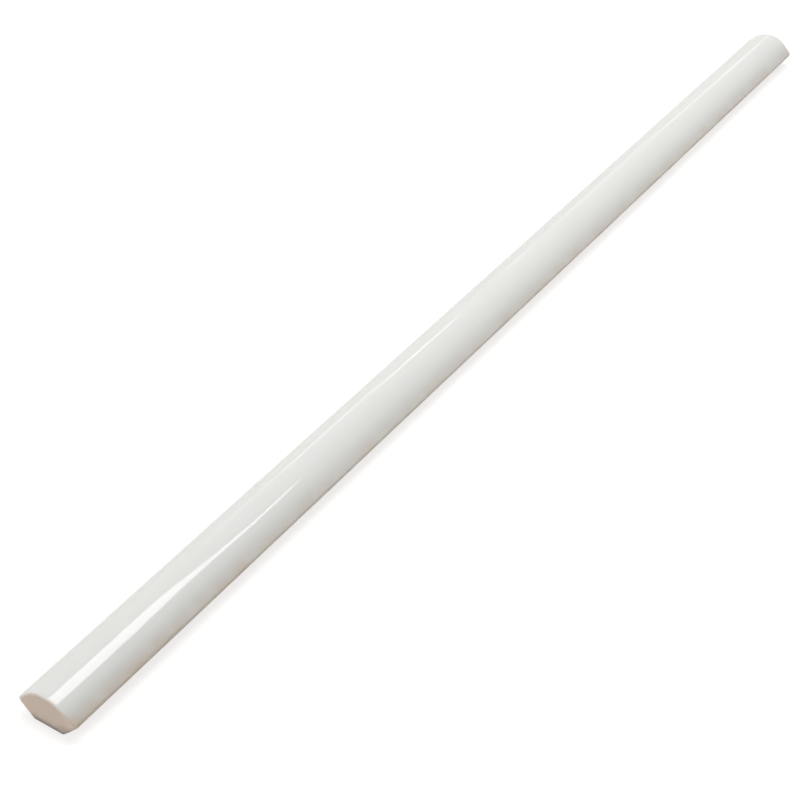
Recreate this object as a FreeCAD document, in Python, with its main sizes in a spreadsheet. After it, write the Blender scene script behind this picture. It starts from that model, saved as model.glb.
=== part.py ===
import FreeCAD, Part
import math
import os
import Sketcher

# Bullnose tile: a slim glazed ceramic trim strip for the edge of a tiled wall.
# The section is a square bar stood on one corner. Its top corner is rolled to a
# broad nose between two side flats, and its bottom corner is cut off flat, so the
# strip lies level on the cut. The two back faces are square to each other: one
# goes against the wall and the other against the edge of the last tile.
#
# Frame: X along the strip, Y across it, Z up. The origin is at the middle of the
# flat that it lies on. Millimetres.

os.makedirs("parts", exist_ok=True)
doc = FreeCAD.newDocument("BullnoseTile")

# Each size that can be set by itself, with a note of what it measures.
sizes = doc.addObject("Spreadsheet::Sheet", "Sizes")
size_table = [
    ("length", 300.0, "overall length of the strip"),
    ("stock_width", 9.8, "from a back face to the side flat opposite it"),
    ("side_flat_width", 3.3, "from an outer arris to where the nose begins"),
    ("back_face_width", 5.0, "from an outer arris to the flat underneath"),
    ("arris_radius", 0.8, "rounding of the two outer arrises, where the glaze ends"),
    ("back_edge_radius", 0.5, "rounding of the two long edges of the flat underneath"),
    ("end_edge_radius", 0.3, "soft edge all round each end"),
]
for row, (alias, value, note) in enumerate(size_table, start=1):
    sizes.set(f"A{row}", alias)
    sizes.set(f"B{row}", str(value))
    sizes.set(f"C{row}", note)
    sizes.setAlias(f"B{row}", alias)
doc.recompute()


def origin_plane(body, role):
    """The plane of the body's own origin that has this role."""
    for feature in body.Origin.OriginFeatures:
        if feature.Role == role:
            return feature
    raise ValueError(f"{body.Name} has no {role}")


def edges_where(feature, test):
    """Names of the feature's edges whose middle point passes the test."""
    names = []
    for number, edge in enumerate(feature.Shape.Edges, start=1):
        middle = edge.valueAt((edge.FirstParameter + edge.LastParameter) / 2)
        if test(middle):
            names.append(f"Edge{number}")
    return names


def add_fillet(name, base, edges, radius):
    """Round these edges of the base feature, with the radius worked out in the sheet."""
    fillet = body.newObject("PartDesign::Fillet", name)
    fillet.Base = (base, edges)
    fillet.setExpression("Radius", radius)
    doc.recompute()
    return fillet


body = doc.addObject("PartDesign::Body", "BullnoseTile")
body.Label = "bullnose_tile"
body.Placement = FreeCAD.Placement()

# The section, seen from the far end of X. It is drawn where the sheet's values put
# it, and the constraints then hold it there.
section = body.newObject("Sketcher::SketchObject", "Section")
section.AttachmentSupport = [(origin_plane(body, "YZ_Plane"), "")]
section.MapMode = "FlatFace"


def across(point):
    """The same point on the other side of the section's middle."""
    return FreeCAD.Vector(-point.x, point.y, 0)


slope = FreeCAD.Vector(1, 1, 0).normalize()
cut_width = (sizes.stock_width - sizes.back_face_width) * math.sqrt(2)
nose_radius = sizes.stock_width - sizes.side_flat_width
cut_corner = FreeCAD.Vector(cut_width / 2, 0, 0)
arris = cut_corner + slope * sizes.back_face_width
nose_start = arris + across(slope) * sizes.side_flat_width
nose_top = nose_start - slope * nose_radius + FreeCAD.Vector(0, nose_radius, 0)

cut = section.addGeometry(Part.LineSegment(across(cut_corner), cut_corner))
back = section.addGeometry(Part.LineSegment(cut_corner, arris))
side = section.addGeometry(Part.LineSegment(arris, nose_start))
nose = section.addGeometry(Part.Arc(nose_start, nose_top, across(nose_start)))
other_side = section.addGeometry(Part.LineSegment(across(nose_start), across(arris)))
other_back = section.addGeometry(Part.LineSegment(across(arris), across(cut_corner)))


def start_of(line):
    """How a constraint names the start of a line or arc."""
    return line, 1


def end_of(line):
    """How a constraint names the end of a line or arc."""
    return line, 2


def hold(kind, *what):
    """Add a constraint to the section and give its number."""
    return section.addConstraint(Sketcher.Constraint(kind, *what))


def match(point, other):
    """Hold two points level, one each side of Z, the axis that a sketch numbers -2."""
    hold("Symmetric", *point, *other, -2)


# The outline closes, and the nose runs out of the side flat without a corner.
hold("Coincident", *end_of(cut), *start_of(back))
hold("Coincident", *end_of(back), *start_of(side))
hold("Tangent", *end_of(side), *start_of(nose))
hold("Coincident", *end_of(nose), *start_of(other_side))
hold("Coincident", *end_of(other_side), *start_of(other_back))
hold("Coincident", *end_of(other_back), *start_of(cut))

# Both halves are the same, and the cut lies on Y, the axis that a sketch numbers -1.
match(start_of(cut), end_of(cut))
match(end_of(back), start_of(other_back))
match(end_of(side), start_of(other_side))
hold("PointOnObject", *end_of(cut), -1)

# The back faces are square to each other, so each leans by 45 degrees, and the
# side flat is square to the back face that it meets.
hold("Perpendicular", back, other_back)
hold("Perpendicular", back, side)

measured = [
    ("BackFaceWidth", hold("Distance", back, sizes.back_face_width), "back_face_width"),
    ("SideFlatWidth", hold("Distance", side, sizes.side_flat_width), "side_flat_width"),
    ("StockWidth", hold("Distance", *start_of(side), other_back, sizes.stock_width), "stock_width"),
]
for name, constraint, alias in measured:
    section.renameConstraint(constraint, name)
    section.setExpression(f"Constraints.{name}", f"Sizes.{alias}")
doc.recompute()

# The strip runs the same way from its middle to both ends.
strip = body.newObject("PartDesign::Pad", "Strip")
strip.Profile = section
strip.SideType = "Symmetric"
strip.setExpression("Length", "Sizes.length")
doc.recompute()

half_length = sizes.length / 2
half_width = arris.x


def same(value, other):
    """Whether two measures are the same, to a thousandth of a millimetre."""
    return abs(value - other) < 0.001


# The two outer arrises run the whole length. The glaze ends on their rounding.
arris_edges = edges_where(strip, lambda middle: same(abs(middle.y), half_width))
outer_arrises = add_fillet("OuterArrises", strip, arris_edges,
                           "min(Sizes.arris_radius; Sizes.side_flat_width / 2; Sizes.back_face_width / 2)")

# The long edges of the cut are broken a little, as the die leaves them.
cut_edges = edges_where(outer_arrises, lambda middle: same(middle.z, 0) and same(middle.x, 0))
cut_corners = add_fillet("CutCorners", outer_arrises, cut_edges,
                         "min(Sizes.back_edge_radius; Sizes.stock_width - Sizes.back_face_width)")

# A soft edge follows the whole section round at each end. It stays smaller than
# the roundings that it crosses.
end_edges = edges_where(cut_corners, lambda middle: same(abs(middle.x), half_length))
soft_ends = add_fillet("SoftEnds", cut_corners, end_edges,
                       "min(Sizes.end_edge_radius; 0.8 * Sizes.arris_radius; 0.8 * Sizes.back_edge_radius)")

body.Tip = soft_ends
doc.recompute()

# Nothing is written unless every object of the document is sound.
for item in doc.Objects:
    if "Invalid" in item.State or "Error" in item.State:
        raise RuntimeError(f"{item.Label} failed: {item.State}")
if not section.FullyConstrained:
    raise RuntimeError("the section is not fully constrained")
if body.Shape.isNull() or not body.Shape.isValid() or len(body.Shape.Solids) != 1:
    raise RuntimeError("the strip is not one sound solid")

box = body.Shape.optimalBoundingBox()
print(f"{body.Label}: {box.XLength:.2f} x {box.YLength:.2f} x {box.ZLength:.2f} mm,"
      f" {body.Shape.Volume / 1000:.2f} cm3, {len(body.Shape.Faces)} faces")
body.Shape.exportStep(f"parts/{body.Label}.step")
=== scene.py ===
import math

import bmesh
import bpy
from mathutils import Matrix, Vector, noise


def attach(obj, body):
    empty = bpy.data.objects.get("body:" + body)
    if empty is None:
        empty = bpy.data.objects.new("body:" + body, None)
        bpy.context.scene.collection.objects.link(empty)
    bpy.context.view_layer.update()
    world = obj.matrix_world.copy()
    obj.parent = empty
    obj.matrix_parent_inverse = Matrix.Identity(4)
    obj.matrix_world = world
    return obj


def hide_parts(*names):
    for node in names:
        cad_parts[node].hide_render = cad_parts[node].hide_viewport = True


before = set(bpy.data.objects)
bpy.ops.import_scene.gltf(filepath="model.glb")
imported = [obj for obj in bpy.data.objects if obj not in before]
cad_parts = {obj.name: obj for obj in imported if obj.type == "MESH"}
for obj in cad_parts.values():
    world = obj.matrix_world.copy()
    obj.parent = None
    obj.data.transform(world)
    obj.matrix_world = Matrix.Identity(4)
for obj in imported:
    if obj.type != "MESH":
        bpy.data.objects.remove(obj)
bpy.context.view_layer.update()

# Bullnose tile: one slim glazed ceramic trim strip. It lies on its narrow back flat,
# with the glazed nose up. X runs along it from the near end to the far one, Y across
# it and Z up. The scene is in metres. The sizes and distances of the strip below are
# in millimetres.
MM = 0.001

LENGTH = 300.0
STOCK_WIDTH = 9.8
SIDE_FLAT_WIDTH = 3.3
BACK_FACE_WIDTH = 5.0
ARRIS_RADIUS = 0.8
BACK_EDGE_RADIUS = 0.5
END_EDGE_RADIUS = 0.3


def linear(hex_colour):
    """An sRGB hex colour, such as #e6e4df, as the linear colour that a shader takes."""
    channels = [int(hex_colour[i:i + 2], 16) / 255 for i in (1, 3, 5)]
    return [c / 12.92 if c <= 0.04045 else ((c + 0.055) / 1.055) ** 2.4
            for c in channels] + [1.0]


WHITE = linear("#ffffff")


def smooth_step(value, low, high):
    """0 below low, 1 above high, and an even ramp between them."""
    t = min(max((value - low) / (high - low), 0.0), 1.0)
    return t * t * (3 - 2 * t)


# The section is a five-sided outline with rounded corners: the flat underneath, two
# back faces, two side flats, and the nose where the side flats would have met. It is
# made of runs, which each give their length and a function from the distance along
# them to a point and its outward normal.
def straight_run(start, end):
    """The run from start to end."""
    way = (end - start).normalized()
    normal = Vector((way.y, -way.x))
    return (end - start).length, lambda d: (start + way * d, normal)


def arc_run(start, way, radius, turn):
    """The run that leaves start in the direction of way and turns left by this angle."""
    normal = Vector((way.y, -way.x))
    centre = start - normal * radius
    first = math.atan2(normal.y, normal.x)

    def at(d):
        angle = first + d / radius
        outward = Vector((math.cos(angle), math.sin(angle)))
        return centre + outward * radius, outward
    return radius * turn, at


def section_runs():
    """The outline's runs, from the middle of the flat underneath round to +Y, over the
    nose and back."""
    lean = math.sqrt(0.5)
    half_cut = (STOCK_WIDTH - BACK_FACE_WIDTH) * lean
    arris_y = half_cut + BACK_FACE_WIDTH * lean
    arris_z = BACK_FACE_WIDTH * lean
    top_z = arris_z + STOCK_WIDTH * lean
    corners = [(Vector((half_cut, 0)), BACK_EDGE_RADIUS),
               (Vector((arris_y, arris_z)), ARRIS_RADIUS),
               (Vector((0, top_z)), STOCK_WIDTH - SIDE_FLAT_WIDTH),
               (Vector((-arris_y, arris_z)), ARRIS_RADIUS),
               (Vector((-half_cut, 0)), BACK_EDGE_RADIUS)]
    underneath = Vector((0, 0))
    runs = []
    start = underneath
    for i, (corner, radius) in enumerate(corners):
        before = corners[i - 1][0] if i else underneath
        after = corners[i + 1][0] if i + 1 < len(corners) else underneath
        way_in = (corner - before).normalized()
        way_out = (after - corner).normalized()
        turn = way_in.angle(way_out)
        trim = radius * math.tan(turn / 2)
        runs.append(straight_run(start, corner - way_in * trim))
        runs.append(arc_run(corner - way_in * trim, way_in, radius, turn))
        start = corner + way_out * trim
    runs.append(straight_run(start, underneath))
    return runs


RUNS = section_runs()
PERIMETER = sum(length for length, _ in RUNS)


def section_at(distance):
    """The point and the outward normal at this distance round the section."""
    distance %= PERIMETER
    for length, at in RUNS:
        if distance <= length:
            return at(distance)
        distance -= length
    last_length, at = RUNS[-1]
    return at(last_length)


# The glaze ends on two rims, a little way round each outer arris from the back face.
# The first arris is the fourth run: half the flat, its corner and a back face lead to
# it. The far rim is where the glaze starts round the section, and the near rim, which
# faces the camera, is where it ends.
FIRST_ARRIS = 3
RIM_ROUND_ARRIS = 0.35
GLAZE_START = (sum(length for length, _ in RUNS[:FIRST_ARRIS])
               + RIM_ROUND_ARRIS * RUNS[FIRST_ARRIS][0])
GLAZE_END = PERIMETER - GLAZE_START

# The rims stray from their lines by two ripples: how long each is along the strip, how
# far it goes, and where its noise is read, so that no two are alike.
RIM_RIPPLES = [(9.0, 0.16, 7.3, 2.0), (2.2, 0.06, 5.1, 8.0)]

# The waves of the glaze: how long each is along the strip and round it, how deep it
# goes to either side of its middle, and the layer of noise that it is read in. They are
# the slow sag of the surface and the soft unevenness that a poured glaze dries with.
GLAZE_WAVES = [(46.0, 14.0, 0.018, 3.0), (13.0, 5.5, 0.005, 11.0), (4.0, 3.0, 0.0015, 17.0)]

# The glaze sinks by at least this much everywhere, so that it stays inside the part's
# own box, and the bare body drops by a small step beside each rim.
LEAST_SUNK = 0.017
RIM_STEP = 0.065

# Up to this share of the body showing through, the glaze is still there but thin.
THIN_GLAZE = 0.7

# The glaze stops short of the near corner in an arc of this radius.
CORNER_ARC = 2.8

# The section's middle, the mean distance from there to its outline, and how much of the
# drawing in at the ends is square to the outline. The rest is toward the middle.
SECTION_MIDDLE = Vector((0.0, 3.9))
MIDDLE_TO_OUTLINE = 4.4
SQUARE_SHARE = 0.6


def rim_wander(x, side):
    """How far the rim on this side, 1 or -1, strays from its line at x."""
    return sum(reach * noise.noise(Vector((x / length, side * place, layer)))
               for length, reach, place, layer in RIM_RIPPLES)


def glaze_wave(x, distance):
    """How far the glaze sinks at this place beyond the least that it does anywhere."""
    return sum(depth * (noise.noise(Vector((x / length, distance / width, layer))) + 1)
               for length, width, depth, layer in GLAZE_WAVES)


def bare_share_and_shade(x, from_near_rim, from_far_rim):
    """How much of the body's colour shows through the glaze at x and at these
    distances from the two rims, with painted shade in it. For a few millimetres in
    from the near rim the glaze is thin, which warms it, and the same share paints
    shade over the near side flat, deepest at the near end. It is only just thin at
    the far rim and over the end edges. At 1 it is gone, as it is in the arc at the
    near corner."""
    toward_near_end = 1 - 0.28 * smooth_step(x, -150.0, -60.0)
    near_rim = THIN_GLAZE * toward_near_end * (1 - smooth_step(from_near_rim, 0.2, 4.6))
    far_rim = 0.1 * math.exp(-from_far_rim / 0.3)
    end = 0.2 * math.exp(-(LENGTH / 2 - abs(x)) / 0.5)
    from_near_end = LENGTH / 2 + x
    past_arc = math.hypot(max(CORNER_ARC - from_near_rim, 0.0),
                          max(CORNER_ARC - from_near_end, 0.0)) - CORNER_ARC
    corner = smooth_step(past_arc, -0.5, 0.5)
    return min(near_rim + far_rim + end + corner, 1.0)


def end_radius(x, d, inside):
    """The radius of the soft edge at each end, at the distance d round the section,
    which is this far inside the rim of the glaze. The glaze leaves it a little rounder
    than the part's own. It is fuller on the bare faces, where inside is negative, and
    fullest at the near corner, which has lost its glaze."""
    glazed = END_EDGE_RADIUS + 0.15
    bare = 0.25 * (1 - smooth_step(inside, -0.3, 1.6))
    near_corner = 0.4 * math.exp(-((d - GLAZE_END) / 1.5) ** 2) if x < 0 else 0.0
    return glazed + bare + near_corner


def painted_edge_shade(to_end, radius, inside, side):
    """How much painted shade darkens the bare edges at each end, from 0 to 1, where
    they turn down toward the table. There is most round the flat underneath, and some
    on the back face of -Y. It is a little less on the very edge of the end face, and
    it fades along the strip."""
    on_back_face = 0.0 if side > 0 else 0.45 * smooth_step(-inside, 0.6, 2.2)
    below = max(on_back_face, smooth_step(-inside, 2.5, 4.8))
    past_edge = 0.65 + 0.35 * smooth_step(to_end / radius, 0.0, 0.12)
    return below * past_edge * math.exp(-to_end / 1.2)


def drawn_in(to_end, radius):
    """How far a soft edge of this radius draws the outline in, this far from the end."""
    reach = max(radius - to_end, 0.0)
    return radius - math.sqrt(radius * radius - reach * reach)


def surface_point(x, d, inside, drawn, ring_size):
    """The point of the outline at x and at the distance d round the section, this far
    inside the rim of the glaze, drawn in by its soft edge and then to this size of
    ring. Drawing in toward the middle keeps the small corners from folding over."""
    by_far_rim = math.exp(-((d - GLAZE_START) / 0.8) ** 2)
    by_near_rim = math.exp(-((d - GLAZE_END) / 0.8) ** 2)
    shift = by_far_rim * rim_wander(x, 1) - by_near_rim * rim_wander(x, -1)
    point, normal = section_at(d + shift)
    if inside > 0:
        # The waves die out toward the rims and the ends.
        from_rims = smooth_step(inside, 0.0, 3.0)
        from_ends = smooth_step(LENGTH / 2 - abs(x), 0.0, 4.0)
        sunk = LEAST_SUNK + glaze_wave(x, d) * from_rims * from_ends
    else:
        sunk = RIM_STEP * math.exp(inside / 0.35)
    point = point - normal * (SQUARE_SHARE * drawn + sunk)
    size = ring_size - (1 - SQUARE_SHARE) * drawn / MIDDLE_TO_OUTLINE
    return SECTION_MIDDLE + (point - SECTION_MIDDLE) * size


# The mesh's rings. They crowd toward each end over the soft edge, then come at even
# steps, and are wider apart over the long middle.
SOFT_EDGE_REACH = 0.7
SOFT_EDGE_RINGS = 10
NEXT_STEP = 0.25
NEXT_RINGS = 21
MIDDLE_RINGS = 125
END_FACE_RING = 0.66

# Its points round each ring, from the middle of the flat underneath: how many steps
# there are in each zone. A narrow zone lies either side of each rim, on the arrises.
RIM_ZONE = 1.2
ZONE_STEPS = [26, 22, 22, 104, 22, 22, 26]

# The slots of its two materials.
GLAZE, BODY = 0, 1


def ring_places():
    """Where along X the mesh has its rings, and how large each is beside the outline
    there. One smaller ring lies on each end face."""
    quarter_turn = [math.radians(90 * i / SOFT_EDGE_RINGS) for i in range(SOFT_EDGE_RINGS + 1)]
    from_end = [SOFT_EDGE_REACH * (1 - math.cos(angle)) for angle in quarter_turn]
    from_end += [SOFT_EDGE_REACH + NEXT_STEP * i for i in range(1, NEXT_RINGS + 1)]
    side = [LENGTH / 2 - distance for distance in from_end]
    step = side[-1] / MIDDLE_RINGS
    side += [step * i for i in range(MIDDLE_RINGS - 1, 0, -1)]
    along = [-x for x in side] + [0.0] + side[::-1]
    return ([(along[0], END_FACE_RING)] + [(x, 1.0) for x in along]
            + [(along[-1], END_FACE_RING)])


def ring_steps():
    """The distances round the section at which each ring has its points."""
    zone_ends = [0.0, GLAZE_START - RIM_ZONE, GLAZE_START, GLAZE_START + RIM_ZONE,
                 GLAZE_END - RIM_ZONE, GLAZE_END, GLAZE_END + RIM_ZONE, PERIMETER]
    steps = []
    for start, end, count in zip(zone_ends, zone_ends[1:], ZONE_STEPS):
        steps += [start + (end - start) * i / count for i in range(count)]
    return steps


def make_strip():
    """The whole strip as one closed mesh. The glaze and the bare body are two
    materials on it, which meet along one line of its edges."""
    strip = bmesh.new()
    bare_and_shade_layer = strip.verts.layers.float.new("bare_share_and_shade")
    shade_layer = strip.verts.layers.float.new("painted_edge_shade")
    steps = ring_steps()
    rings = []
    for x, ring_size in ring_places():
        to_end = LENGTH / 2 - abs(x)
        on_end_face = ring_size < 1
        ring = []
        for d in steps:
            inside = min(d - GLAZE_START, GLAZE_END - d)
            radius = end_radius(x, d, inside)
            point = surface_point(x, d, inside, drawn_in(to_end, radius), ring_size)
            vert = strip.verts.new((x * MM, point.x * MM, point.y * MM))
            vert[bare_and_shade_layer] = bare_share_and_shade(x, max(GLAZE_END - d, 0.0), max(d - GLAZE_START, 0.0))
            side = 1 if d < PERIMETER / 2 else -1
            vert[shade_layer] = 0.0 if on_end_face else painted_edge_shade(to_end, radius, inside, side)
            ring.append(vert)
        rings.append(ring)

    around = len(steps)
    for number, (ring, following) in enumerate(zip(rings, rings[1:])):
        on_end_face = number in (0, len(rings) - 2)
        for i in range(around):
            j = (i + 1) % around
            face = strip.faces.new((ring[i], following[i], following[j], ring[j]))
            face.smooth = True
            glazed = GLAZE_START <= steps[i] < GLAZE_END and not on_end_face
            face.material_index = GLAZE if glazed else BODY
    for ring in (rings[0], rings[-1]):
        cap = strip.faces.new(ring)
        cap.material_index = BODY
        cap.smooth = False
    bmesh.ops.recalc_face_normals(strip, faces=strip.faces)

    mesh = bpy.data.meshes.new("bullnose_strip")
    strip.to_mesh(mesh)
    strip.free()
    piece = bpy.data.objects.new("bullnose_strip", mesh)
    bpy.context.scene.collection.objects.link(piece)
    return piece


def add_node(tree, kind, links=None, values=None, **settings):
    """Add a node. links gives the node that each input comes from, or that node and
    the name of its output, and values gives the inputs that are plain numbers."""
    node = tree.nodes.new(kind)
    for name, value in settings.items():
        setattr(node, name, value)

    def live(sockets, name):
        if isinstance(name, int):
            return sockets[name]
        return next(s for s in sockets if s.enabled and name in (s.name, None))

    for name, value in (values or {}).items():
        live(node.inputs, name).default_value = value
    for name, source in (links or {}).items():
        source, output = source if isinstance(source, tuple) else (source, None)
        tree.links.new(live(source.outputs, output), live(node.inputs, name))
    return node


def empty_tree(owner):
    """The node tree of a new material or world, cleared."""
    owner.use_nodes = True
    owner.node_tree.nodes.clear()
    return owner.node_tree


def pattern_scale(size):
    """The scale at which a noise texture has marks of about this many millimetres."""
    return 1 / (size * MM)


# Glaze: an opaque white glaze poured over the nose and side flats of a pale clay body
# and fired to a glass. The eye sees clean soft white and sharp reflections. Near the
# rim the glaze ran thin, so the clay warms it there and it shines less, and painted
# shade darkens it there too, deepest at the near end. Where it is gone, at the near
# corner, the eye sees the dull clay itself.
def white_glaze():
    material = bpy.data.materials.new("white_glaze")
    tree = empty_tree(material)
    place = add_node(tree, "ShaderNodeTexCoord")
    share = add_node(tree, "ShaderNodeAttribute", attribute_name="bare_share_and_shade")

    # Clouds of nearly 4 mm make the edge of the thin glaze uneven, and pools of about
    # 18 mm tint the white a little.
    cloud = add_node(tree, "ShaderNodeTexNoise", {"Vector": (place, "Object")},
                     {"Scale": pattern_scale(3.846), "Detail": 3.0})
    uneven = add_node(tree, "ShaderNodeMapRange", {"Value": cloud},
                      {"From Min": 0.3, "From Max": 0.7, "To Min": 0.8, "To Max": 1.2})
    pooling = add_node(tree, "ShaderNodeTexNoise", {"Vector": (place, "Object")},
                       {"Scale": pattern_scale(18.18), "Detail": 1.0})

    worn = add_node(tree, "ShaderNodeMath", {0: (share, "Fac"), 1: uneven},
                    operation="MULTIPLY")
    thin = add_node(tree, "ShaderNodeMapRange", {"Value": worn}, {"From Max": THIN_GLAZE})
    gone = add_node(tree, "ShaderNodeMapRange", {"Value": worn},
                    {"From Min": 0.8, "From Max": 1.0})
    white = add_node(tree, "ShaderNodeMix", {"Factor": pooling},
                     {"A": linear("#e8e8e5"), "B": linear("#e5e6e2")}, data_type="RGBA")
    # Painted shade: the thin glaze is mixed toward a grey, then a warm beige. The beige is the
    # clay showing through. The grey stands for shade on the near side flat.
    through = add_node(tree, "ShaderNodeMix", {"Factor": thin},
                       {"A": linear("#cac8c3"), "B": linear("#cec2b5")}, data_type="RGBA")
    thinned_and_shaded = add_node(tree, "ShaderNodeMix", {"Factor": thin, "A": white, "B": through},
                      data_type="RGBA")
    colour = add_node(tree, "ShaderNodeMix", {"Factor": gone, "A": thinned_and_shaded},
                      {"B": linear("#d4c2b2")}, data_type="RGBA")
    gloss = add_node(tree, "ShaderNodeMapRange", {"Value": thin},
                     {"To Min": 0.055, "To Max": 0.3})
    roughness = add_node(tree, "ShaderNodeMix", {"Factor": gone, "A": gloss}, {"B": 0.85})
    shader = add_node(tree, "ShaderNodeBsdfPrincipled",
                      {"Base Color": colour, "Roughness": roughness}, {"IOR": 1.52})
    add_node(tree, "ShaderNodeOutputMaterial", {"Surface": shader})
    return material


# Fired clay body, bare: pressed pale earthenware. The eye sees a dull pinkish beige
# with a fine sandy grain, and faint drag lines along the strip from the die. Painted
# shade darkens the low edges at each end, where they turn down to the table.
def bare_body():
    material = bpy.data.materials.new("bare_fired_body")
    tree = empty_tree(material)
    place = add_node(tree, "ShaderNodeTexCoord")
    edge_shade = add_node(tree, "ShaderNodeAttribute", attribute_name="painted_edge_shade")

    # The real grain is about 0.1 mm, too fine to show, so it is drawn at 0.4 mm, and
    # the drag lines are just over half a millimetre apart for the same reason.
    grain = add_node(tree, "ShaderNodeTexNoise", {"Vector": (place, "Object")},
                     {"Scale": pattern_scale(0.4), "Detail": 4.0, "Roughness": 0.6})
    clouds = add_node(tree, "ShaderNodeTexNoise", {"Vector": (place, "Object")},
                      {"Scale": pattern_scale(6.25), "Detail": 2.0})
    along = add_node(tree, "ShaderNodeMapping", {"Vector": (place, "Object")},
                     {"Scale": (0.02, 1.0, 1.0)})
    drag = add_node(tree, "ShaderNodeTexNoise", {"Vector": along},
                    {"Scale": pattern_scale(0.5556), "Detail": 2.0})

    tone = add_node(tree, "ShaderNodeMix", {"Factor": clouds},
                    {"A": linear("#d0c0b2"), "B": linear("#cbbaab")}, data_type="RGBA")
    clay = add_node(tree, "ShaderNodeMix", {"Factor": grain, "A": tone},
                    {"B": linear("#beafa1")}, data_type="RGBA")
    # Painted shade: dark grey-brown mixed in along the low edges at each end.
    colour = add_node(tree, "ShaderNodeMix", {"Factor": (edge_shade, "Fac"), "A": clay},
                      {"B": linear("#4f4740")}, data_type="RGBA")
    height = add_node(tree, "ShaderNodeMath", {0: grain, 1: drag}, operation="ADD")
    relief = add_node(tree, "ShaderNodeBump", {"Height": height},
                      {"Strength": 0.35, "Distance": 0.06 * MM})
    shader = add_node(tree, "ShaderNodeBsdfPrincipled",
                      {"Base Color": colour, "Normal": relief},
                      {"Roughness": 0.85, "IOR": 1.5})
    add_node(tree, "ShaderNodeOutputMaterial", {"Surface": shader})
    return material


strip = make_strip()
strip.data.materials.append(white_glaze())
strip.data.materials.append(bare_body())
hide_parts("bullnose_tile")
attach(strip, "root")


# The studio, in metres.
def seen_in_picture(tree, ray):
    """1 on the rays that show a thing to the camera, straight, mirrored or through
    glass, and 0 on those that only carry its light. ray is the Light Path node."""
    seen = (ray, "Is Camera Ray")
    for kind in ("Is Glossy Ray", "Is Transmission Ray"):
        seen = add_node(tree, "ShaderNodeMath", {0: seen, 1: (ray, kind)},
                        operation="MAXIMUM")
    return seen


# A seamless white table. Light bounces off it as off white card. To the eye, and in
# reflections, most of its white is its own, so that it fades to plain white and keeps
# only a soft shadow of the strip. The glaze mirrors it from low down, where a matt
# card is a shade greyer than from above.
def white_table():
    material = bpy.data.materials.new("white_table")
    tree = empty_tree(material)
    ray = add_node(tree, "ShaderNodeLightPath")
    card = add_node(tree, "ShaderNodeBsdfPrincipled", {},
                    {"Base Color": linear("#f2f1ef"), "Roughness": 0.9})
    own_white = add_node(tree, "ShaderNodeMapRange", {"Value": (ray, "Is Glossy Ray")},
                         {"To Min": 0.76, "To Max": 0.49})
    bright_card = add_node(tree, "ShaderNodeBsdfPrincipled", {"Emission Strength": own_white},
                           {"Base Color": linear("#9f9d98"), "Roughness": 0.9,
                            "Emission Color": WHITE})
    either = add_node(tree, "ShaderNodeMixShader",
                      {0: seen_in_picture(tree, ray), 1: card, 2: bright_card})
    add_node(tree, "ShaderNodeOutputMaterial", {"Surface": either})
    return material


def add_panel(name, outline, height, material):
    """A level face of this outline at this height, which is there for the picture."""
    mesh = bpy.data.meshes.new(name)
    mesh.from_pydata([(x, y, height) for x, y in outline], [], [range(len(outline))])
    mesh.materials.append(material)
    panel = bpy.data.objects.new(name, mesh)
    bpy.context.scene.collection.objects.link(panel)
    return panel


add_panel("table", [(-4, -4), (4, -4), (4, 4), (-4, 4)], 0.0, white_table())


def even_glow(radiance):
    """The diffuser of a softbox: it shows this radiance all over."""
    material = bpy.data.materials.new("softbox_diffuser")
    tree = empty_tree(material)
    glow = add_node(tree, "ShaderNodeEmission", {}, {"Color": WHITE, "Strength": radiance})
    add_node(tree, "ShaderNodeOutputMaterial", {"Surface": glow})
    return material


def add_lamp(name, start, end, width, radiance, facing=(0.0, 0.0, 0.0), in_reflections=True):
    """A rectangular lamp whose middle line runs from start to end, which shines at the
    point that it faces. Its power is worked out from the radiance that it shows."""
    start, end = Vector(start), Vector(end)
    centre = (start + end) / 2
    length = (end - start).length
    lamp = bpy.data.lights.new(name, "AREA")
    lamp.shape = "RECTANGLE"
    lamp.size = length
    lamp.size_y = width
    lamp.energy = radiance * math.pi * length * width
    x_axis = (end - start).normalized()
    back = centre - Vector(facing)
    z_axis = (back - x_axis * back.dot(x_axis)).normalized()
    turned = Matrix((x_axis, z_axis.cross(x_axis), z_axis)).transposed().to_4x4()
    holder = bpy.data.objects.new(name, lamp)
    holder.matrix_world = Matrix.Translation(centre) @ turned
    holder.visible_glossy = in_reflections
    bpy.context.scene.collection.objects.link(holder)


# The softbox overhead gives the broad highlight at the near end. It tapers away from
# the camera, so the highlight runs out to a thread. A camera above it looks through
# it, as it would past a lamp.
softbox_outline = [(-0.11, -0.28), (0.04, -0.28), (0.19, -0.188), (0.28, -0.183),
                   (0.315, -0.135), (0.345, -0.135), (0.40, -0.205), (0.447, -0.185),
                   (0.447, -0.115), (0.395, -0.115), (0.353, -0.037), (0.326, 0.088),
                   (0.312, 0.233), (0.245, 0.235), (0.09, 0.30), (-0.11, 0.30)]
softbox = add_panel("overhead_softbox", softbox_outline, 0.70, even_glow(5.95))
softbox.visible_camera = False

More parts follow.
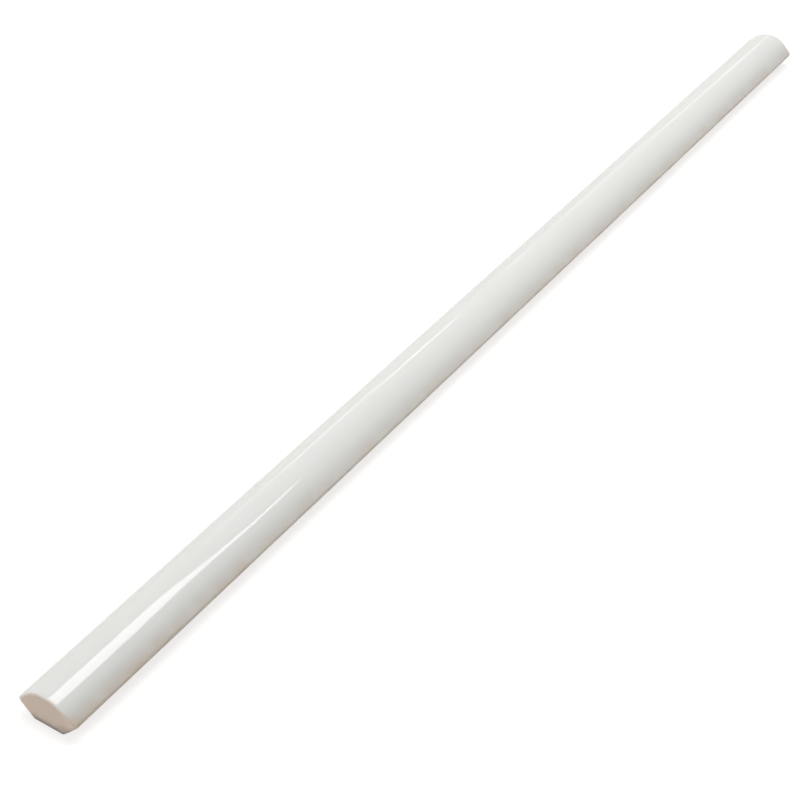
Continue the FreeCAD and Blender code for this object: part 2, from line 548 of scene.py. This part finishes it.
# Short thin strips low behind the tile give the broken line along its far shoulder.
# Each has the start and end of its middle line and its radiance.
LOW_STRIP_WIDTH = 0.024
low_strips = [((0.400, 0.675, 0.337), (0.450, 0.672, 0.284), 2.6),
              ((0.454, 0.661, 0.305), (0.544, 0.589, 0.351), 5.2),
              ((0.548, 0.554, 0.420), (0.624, 0.484, 0.455), 5.9),
              ((0.655, 0.548, 0.306), (0.681, 0.529, 0.311), 3.9),
              ((0.693, 0.547, 0.263), (0.790, 0.483, 0.272), 3.0),
              ((0.792, 0.452, 0.325), (0.944, 0.287, 0.392), 2.6)]
for number, (start, end, radiance) in enumerate(low_strips, start=1):
    add_lamp(f"low_strip_{number}", start, end, LOW_STRIP_WIDTH, radiance)

# A broad fill from behind lightens the far shoulder and is too soft to mirror, and one
# from the near end lights the bare end face.
add_lamp("back_fill", (-0.7, 0.8, 0.6), (0.1, 0.8, 0.6), 0.6, 0.2, in_reflections=False)
add_lamp("end_fill", (-1.19, -0.19, 0.35), (-1.01, 0.69, 0.35), 0.6, 2.8,
         facing=(-0.15, 0.0, 0.0))


# The walls of the studio: they give a dim even light from all round, and are seen as a
# pale backdrop, a shade greyer than the table.
def white_studio():
    world = bpy.data.worlds.new("white_studio")
    tree = empty_tree(world)
    ray = add_node(tree, "ShaderNodeLightPath")
    light = add_node(tree, "ShaderNodeBackground", {}, {"Color": WHITE, "Strength": 0.178})
    backdrop = add_node(tree, "ShaderNodeBackground", {},
                        {"Color": linear("#eaeae9"), "Strength": 1.0})
    either = add_node(tree, "ShaderNodeMixShader",
                      {0: seen_in_picture(tree, ray), 1: light, 2: backdrop})
    add_node(tree, "ShaderNodeOutputWorld", {"Surface": either})
    return world


bpy.context.scene.world = white_studio()

# The camera looks down along the strip from its near end. Its axis meets the table
# beside the middle of the strip.
look_at = Vector((-0.03901, 0.00017, 0.0))
distance = 0.38149
heading = math.radians(56.399)
drop = math.radians(38.118)
ahead = Vector((math.sin(heading) * math.cos(drop), math.cos(heading) * math.cos(drop),
                -math.sin(drop)))
camera = bpy.data.cameras.new("camera")
camera.sensor_width = 36.0
camera.lens = 79.724
camera.clip_start = 0.01
camera_object = bpy.data.objects.new("camera", camera)
camera_object.location = look_at - ahead * distance
camera_object.rotation_euler = ahead.to_track_quat("-Z", "Y").to_euler()
bpy.context.scene.collection.objects.link(camera_object)
bpy.context.scene.camera = camera_object

bpy.context.scene.view_settings.view_transform = "Standard"
